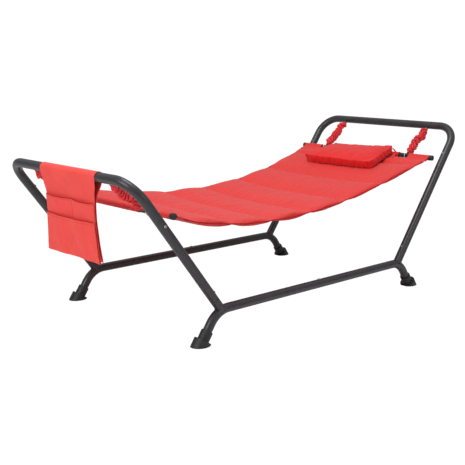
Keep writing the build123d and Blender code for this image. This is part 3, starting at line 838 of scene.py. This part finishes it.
def rounded_panel(rise, crown):
    """One panel: a square grid drawn in between its corners, with rounded corners and a crown."""
    back, across = np.meshgrid(np.linspace(0, 1, PILLOW_ROWS), np.linspace(0, 1, PILLOW_COLUMNS),
                               indexing="ij")
    p, q = back * 2 - 1, across * 2 - 1
    round_off = 0.07
    p2 = p * (1 - round_off * q ** 6 * p ** 2)
    q2 = q * (1 - round_off * 0.6 * p ** 6 * q ** 2)
    draw_in = 0.022
    p2 = p2 * (1 - draw_in * (1 - q ** 2))
    q2 = q2 * (1 - draw_in * (1 - p ** 2))
    thin = (p2 + 1) / 2
    dip = BACK_DROP * thin + BACK_DIP * thin ** 3 * (1 - q ** 2) + BACK_TILT * thin * q
    plump = FAR_FRONT * (1 - thin) * (q2 + 1) / 2
    p2 = p2 * (1 - FRONT_TUCK * (rise <= 0))
    height = rise - dip * (rise > 0) + plump * np.where(rise > 0, 0.4, -0.6)
    height = height + crown * (1 - p ** 2) ** 0.6 * (1 - q ** 2) ** 0.6
    return pillow_point((p2 + 1) / 2, (q2 + 1) / 2, height)


top_panel = rounded_panel(PILLOW_WALL, 0.009)
low_panel = rounded_panel(0.0, -0.001)
WALL_STEPS = 6
rows, columns = PILLOW_ROWS, PILLOW_COLUMNS
index = np.arange(rows * columns).reshape(rows, columns)
rim = np.r_[index[0, :-1], index[:-1, -1], index[-1, :0:-1], index[:0:-1, 0]]
top_rim, low_rim = top_panel.reshape(-1, 3)[rim], low_panel.reshape(-1, 3)[rim]
shares = np.linspace(0, 1, WALL_STEPS + 2)[1:-1]
belt = np.stack([low_rim + (top_rim - low_rim) * s for s in shares])
all_points = np.concatenate([top_panel.reshape(-1, 3), low_panel.reshape(-1, 3), belt.reshape(-1, 3)])
size = rows * columns
belt_index = 2 * size + np.arange(belt.shape[0] * len(rim)).reshape(belt.shape[0], len(rim))
levels = [rim + size, *belt_index, rim]
quads = [strip_quads(index[i], index[i + 1], False) for i in range(rows - 1)]
quads += [strip_quads(index[i + 1] + size, index[i] + size, False) for i in range(rows - 1)]
quads += [strip_quads(a, b, True) for a, b in zip(levels[:-1], levels[1:])]
flat = cloth_lengths(top_panel).reshape(-1, 2)
belt_map = np.stack([np.stack([flat[rim][:, 0], flat[rim][:, 1] + s * PILLOW_WALL], -1) for s in shares])
pillow = build("boxed_pillow", all_points, np.concatenate(quads),
               np.concatenate([flat, flat, belt_map.reshape(-1, 2)]))
outwards(pillow)
pinned = np.zeros(len(all_points), bool)
pinned[rim] = pinned[rim + size] = True
blow_up(pillow, pinned, pressure=6.0, cap=0.016, slack=0.035, stiffness=9.0)
PILLOW_CRUMPLE = 0.0014
soft = points_of(pillow)
crumple = ripple(soft[:, 0], soft[:, 1], 0.075, 19, 0.9, 1.6)
crumple = crumple + 0.25 * ripple(soft[:, 0], soft[:, 1], 0.040, 20, 2.2, 1.2)
set_points(pillow, soft + (PILLOW_CRUMPLE * crumple * (~pinned))[:, None] * pillow_up)
subdivide(pillow)
dress(pillow, pillow_cloth, "pillow", ["pillow"])

# %% [markdown]
# ## Pillow ties
#
# A narrow folded tape leaves each back corner of the pillow and goes once round the bar in the gap
# between two hem sleeves.

# %% Ties
TIE_Y = 0.2235
TIE_WIDTH = 0.011
for side, name in ((-1, "left"), (1, "right")):
    turn = np.linspace(0.35, 2 * pi + 0.25, 70)
    spiral = BAR_R + 0.0022 + 0.0012 * np.linspace(0, 1, 70)
    ray = np.cos(turn)[:, None] * pillow_in + np.sin(turn)[:, None] * pillow_up
    loop = head_axis + spiral[:, None] * ray
    corner = pillow_point(np.array(0.96), np.array(0.02 if side < 0 else 0.98), np.array(0.014))
    lead = np.linspace(0, 1, 16, endpoint=False)[:, None]
    run = corner * (1 - lead) + (loop[0] + [0, side * TIE_Y, 0]) * lead
    run[:, 2] += 0.003 * np.sin(pi * lead[:, 0])
    path = np.concatenate([run, loop + [0, side * TIE_Y, 0]])
    width = np.linspace(-0.5, 0.5, 7) * TIE_WIDTH
    points = path[:, None, :] + width[None, :, None] * np.array([0.0, 1.0, 0.0])
    crease = 0.0006 * np.sin(np.linspace(0, 9 * pi, len(path)))[:, None] * np.cos(np.linspace(0, pi, 7))
    points += crease[..., None] * pillow_up
    tie = grid_piece(f"pillow_tape_{name}", points)
    wall(tie, 0.0014)
    dress(tie, pillow_cloth, "pillow", [f"pillow_tie_{name}"])

# %% [markdown]
# ## Ruched strap covers
#
# The bed hangs on four elastic straps, each hidden in a sleeve of cloth about twice as long as the
# strap. The spare length gathers into soft rings with deep creases between them, like a hair
# scrunchie. The surface is a tube round the strap's line whose radius rises and falls with the
# absolute value of a sine: round bulges, sharp creases. Slow noise moves the creases round the
# tube so that no two rings are parallel, and the ends draw in to the ring and the hook.

# %% Ruched tube
COVER_R = 0.0178
RUCHE_PITCH = 0.0185


def ruched_tube(start, stop, seed):
    """Points of a gathered tube from start to stop.

    The radius is a narrow core plus bulges, the absolute value of a sine of the length, shifted by
    waves round the tube, plus a second, finer set. Both fade out towards the drawn-in ends."""
    length = np.linalg.norm(stop - start)
    along = (stop - start) / length
    side = np.array([0.0, 1.0, 0.0])
    square = np.cross(along, side)
    s = np.linspace(0, 1, 230)[:, None]
    turn = np.linspace(0, 2 * pi, 60, endpoint=False)[None, :]
    draw = np.random.default_rng(seed)
    phases = draw.uniform(0, 2 * pi, 8)
    rings = pi * length * s / RUCHE_PITCH
    slow = 1.9 * np.sin(turn + phases[0] + 5 * s) + 1.1 * np.sin(2 * turn + phases[1] - 8 * s)
    bulge = np.abs(np.sin(rings + slow + 1.5 * np.sin(8 * s + phases[2])))
    fine = np.abs(np.sin(2.3 * rings + 1.8 * np.sin(3 * turn + phases[3] + 11 * s)))
    lumps = np.sin(2 * turn + 15 * s + phases[4]) * np.sin(21 * s + phases[5] + turn)
    pleats = np.abs(np.sin(3 * turn + 3 * np.sin(14 * s + phases[6])))
    body = 0.42 + 0.50 * bulge ** 0.55 + 0.10 * fine * bulge + 0.16 * lumps + 0.07 * pleats
    ends = np.minimum(smoothstep(s, 0, 0.14), smoothstep(1 - s, 0, 0.12))
    radius = COVER_R * 1.12 * body * (0.42 + 0.58 * ends)
    sway = COVER_R * 0.28 * np.sin(13 * s + phases[7]) * ends
    lean = COVER_R * 0.22 * np.sin(17 * s + phases[2]) * ends
    centre = start + s[..., None] * (stop - start) + sway[..., None] * side + lean[..., None] * square
    around = np.cos(turn)[..., None] * side + np.sin(turn)[..., None] * square
    # The second array is the mask for painted shade: near 0 deep in a crease, 1 on a bulge.
    return centre + radius[..., None] * around, np.clip(bulge ** 0.8 * (0.7 + 0.3 * fine), 0, 1)


# %% Four covers
crossbars = {}
TUBE_R = 0.019
for end, sign in (("foot", -1), ("head", 1)):
    low, high = (np.array(corner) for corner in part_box(f"end_frame_{end}"))
    x = low[0] + TUBE_R if sign < 0 else high[0] - TUBE_R
    crossbars[end] = np.array([x, 0, high[2] - TUBE_R])
STRAP_Y = float(middle("strap_cover_foot_right")[1])
for number, (end, bar) in enumerate((("foot", foot_bar), ("head", head_bar))):
    line = bar * [1, 0, 1] - crossbars[end]
    span = np.linalg.norm(line)
    for side, name in ((-1, "left"), (1, "right")):
        offset = np.array([0, side * STRAP_Y, 0])
        start = crossbars[end] + line * (0.030 / span) + offset
        stop = crossbars[end] + line * ((span - 0.018) / span) + offset
        points, crease_shade_mask = ruched_tube(start, stop, 50 + 2 * number + (side > 0))
        cover = grid_piece(f"ruched_cover_{end}_{name}", points, ring=True)
        # The mask goes on as a point attribute; the strap cloth darkens its colour by it, painted shade.
        cover.data.attributes.new("crease_shade_mask", "FLOAT", "POINT").data.foreach_set("value", crease_shade_mask.ravel())
        wall(cover, 0.0009)
        dress(cover, strap_cloth, f"strap_{end}_{name}", [f"strap_cover_{end}_{name}"])
print("strap covers: 4")

# %% [markdown]
# ## The storage bag
#
# The bag is one strip of cloth thrown over the foot crossbar and sewn to itself below it, which makes
# a sleeve with a long panel hanging from it. Two rows of pockets are sewn on the outside. Their
# mouths sag a little open between the stitches. All sheets share one front surface, so that each
# layer lies on the one behind it.

# %% The bag's outline
bag_bar = crossbars["foot"]
SEAM_DROP = 0.095
BAG_DROP = 0.324
DROPS = np.array([-0.02, 0.0, 0.03, 0.06, 0.099, 0.172, 0.25, 0.324])
FAR_EDGE = np.array([0.152, 0.152, 0.151, 0.146, 0.139, 0.129, 0.127, 0.126])
NEAR_EDGE = np.array([-0.232, -0.232, -0.226, -0.212, -0.206, -0.208, -0.221, -0.240])


def smooth_lookup(value, places, values):
    """A table looked up with gentle S-shaped steps averaged over a centimetre or two."""
    shifts = np.linspace(-0.014, 0.014, 9)
    return np.mean([np.interp(value + s, places, values) for s in shifts], 0)


def bag_y(share, drop):
    """Distance along the bar for a share across the bag, from its near edge to its far edge."""
    near = smooth_lookup(drop, DROPS, NEAR_EDGE)
    far = smooth_lookup(drop, DROPS, FAR_EDGE)
    return near + (far - near) * share


def bag_depth(share, drop):
    """How far the panel's face stands out from straight under the bar, in long vertical folds."""
    hang = smoothstep(drop, 0.12, 0.32)
    folds = 0.0030 * np.sin(2 * pi * (1.3 * share + 0.15)) + 0.0012 * np.sin(2 * pi * (2.7 * share + 0.4))
    slant = np.sin(2 * pi * (share * 0.9 + drop * 2.6) - 0.6) * 0.0022 * np.exp(-((drop - 0.09) / 0.09) ** 2)
    drape = ripple(share * 0.38, drop * 1.0, 0.110, 71, 0.6, 1.4) * 0.0010
    return folds * hang + (drape + slant) * smoothstep(drop, 0.02, 0.08)


# %% The strip over the bar and the long panel
WRAP_R = TUBE_R + 0.0016
OUT = np.array([-1.0, 0.0, 0.0])
LAYER = 0.0016


def place_on_bag(share, drop, out):
    """A point from the share across, the drop below the bar's axis, and how far out it stands."""
    points = np.stack([bag_bar[0] - out, bag_y(share, drop), bag_bar[2] - drop], -1)
    return points


def flap_out(drop, side):
    """How far a flap of the sleeve stands from the middle: the bar's radius, falling to the seam."""
    fall = smoothstep(drop, -0.02, SEAM_DROP + 0.012)
    return side * (WRAP_R * (1 - fall) ** 0.9) + LAYER * side * fall


share = np.linspace(0, 1, 90)
inner = np.linspace(SEAM_DROP + 0.006, 0.004, 26)
around = np.linspace(0, pi, 34)
outer = np.linspace(0.004, BAG_DROP, 100)
drop_rows = np.r_[inner, -np.sin(around[1:-1]) * WRAP_R, outer]
out_rows = np.r_[flap_out(inner, -1), -np.cos(around[1:-1]) * WRAP_R, flap_out(outer, 1)]
drop_grid = drop_rows[:, None] + 0 * share
out_grid = out_rows[:, None] + 0 * share
on_outer = (np.arange(len(drop_rows)) >= len(inner) + len(around) - 2)[:, None]
out_grid = out_grid + np.where(on_outer, bag_depth(share[None, :], drop_grid), 0)
pleat = ripple(share[None, :] * 0.38, drop_grid, 0.060, 73, 0.9, 0.8) * 0.0008
out_grid = out_grid + np.where(drop_grid > 0.02, pleat, 0)
strip_points = place_on_bag(share[None, :] + 0 * drop_grid, drop_grid, out_grid)
strip = grid_piece("bag_strip", strip_points)
wall(strip, 0.0012)
dress(strip, bag_cloth, "bag", ["bag_sleeve", "bag_back"])

# %% The lining panel behind
drop_grid = np.linspace(SEAM_DROP + 0.004, BAG_DROP - 0.003, 60)[:, None] + 0 * share
back_out = bag_depth(share[None, :], drop_grid) - 0.0062 - 0.0040 * smoothstep(drop_grid, 0.15, 0.33)
back_points = place_on_bag(0.006 + 0.988 * share[None, :] + 0 * drop_grid, drop_grid, back_out)
lining = grid_piece("bag_lining", back_points)
wall(lining, 0.0012)
dress(lining, bag_cloth, "bag")

# %% Pocket rows
def pocket_row(mouth, foot, stand, sag, stitched, seed, base, pleats):
    """A pocket panel: it follows the panel behind, and stands off it most at the mouth.

    Between the stitched lines the mouth opens as a bow, and its edge hangs down a little. A pleat
    is a groove shaped as a narrow bell across, given by its share, width and depth."""
    drop = np.linspace(0, 1, 56)[:, None]
    across = np.linspace(0, 1, 110)[None, :]
    lines = np.r_[0, stitched, 1]
    after = np.clip(np.searchsorted(lines, across[0] - 1e-9), 1, len(lines) - 1)
    part = (across[0] - lines[after - 1]) / (lines[after] - lines[after - 1])
    bow = np.sin(pi * np.clip(part, 0, 1))[None, :]
    level = mouth + (foot - mouth) * drop + sag * bow * (1 - drop) ** 2
    out = bag_depth(across, level) + base + stand * np.sqrt(bow) * (1 - drop) ** 0.8
    crush = ripple(across * 0.38, level, 0.060, seed, 0.5, 1.2) * 0.0005
    pull = np.exp(-((across[0][:, None] - stitched) / 0.03) ** 2).sum(1)[None, :] if len(stitched) else 0
    tension = ripple(across * 0.38, level, 0.020, seed + 1, 0.9, 0.8) * 0.0007 * pull
    out = out + (crush + tension) * np.sin(pi * np.clip(drop, 0.02, 0.98)) ** 0.5
    for line, width, deep in pleats:
        out = out - deep * np.exp(-((across - line) / width) ** 2) * smoothstep(drop, 0.10, 0.35)
    return place_on_bag(0.001 + 0.998 * across + 0 * level, level, out)


ROWS_OF_POCKETS = {
    "bag_pocket_upper": (0.101, 0.186, 0.0075, 0.004, np.array([0.46]), 81, 0.0046, ()),
    "bag_pocket_lower": (0.172, BAG_DROP, 0.0075, 0.004, np.array([]), 87, 0.0078,
                         ((0.36, 0.010, 0.0022), (0.41, 0.016, 0.0014), (0.60, 0.009, 0.0018))),
}
replaced = {"bag_pocket_upper": ["bag_upper_pocket"], "bag_pocket_lower": ["bag_lower_pocket"]}
for name, (mouth, foot, stand, sag, stitched, seed, base, pleats) in ROWS_OF_POCKETS.items():
    points = pocket_row(mouth, foot, stand, sag, stitched, seed, base, pleats)
    row = grid_piece(name, points)
    wall(row, 0.0013)
    dress(row, bag_cloth, "bag", replaced[name])
    # A thin dark tube along the mouth: painted shade for the gap under it.
    shade_line_tube(name + "_shade_line", points[0] + OUT * 0.0004, 0.0015, "bag")
    hem = stitches(name + "_mouth_stitches", points[4] + OUT * 0.0006, OUT, thick=0.0007)
    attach(hem, "bag")
    for number, line in enumerate(stitched):
        column = int(round(line * 109))
        seam = stitches(f"{name}_seam_stitches_{number}", points[:50, column] + OUT * 0.0008, OUT)
        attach(seam, "bag")

# %% [markdown]
# ## The floor
#
# A plain white floor closes the scene.

# %% The floor
FLOOR_HALF = 30
corners = np.array([[(-FLOOR_HALF, -FLOOR_HALF, 0), (FLOOR_HALF, -FLOOR_HALF, 0)],
                    [(-FLOOR_HALF, FLOOR_HALF, 0), (FLOOR_HALF, FLOOR_HALF, 0)]], float)
floor = grid_piece("floor", corners)
floor_paint, floor_tree, floor_shader = shader("pale_floor", (0.85, 0.85, 0.85), 0.9)
white_where_seen(floor_tree, floor_shader.outputs[0], floor_tree.nodes["Material Output"])
floor.data.materials.append(floor_paint)
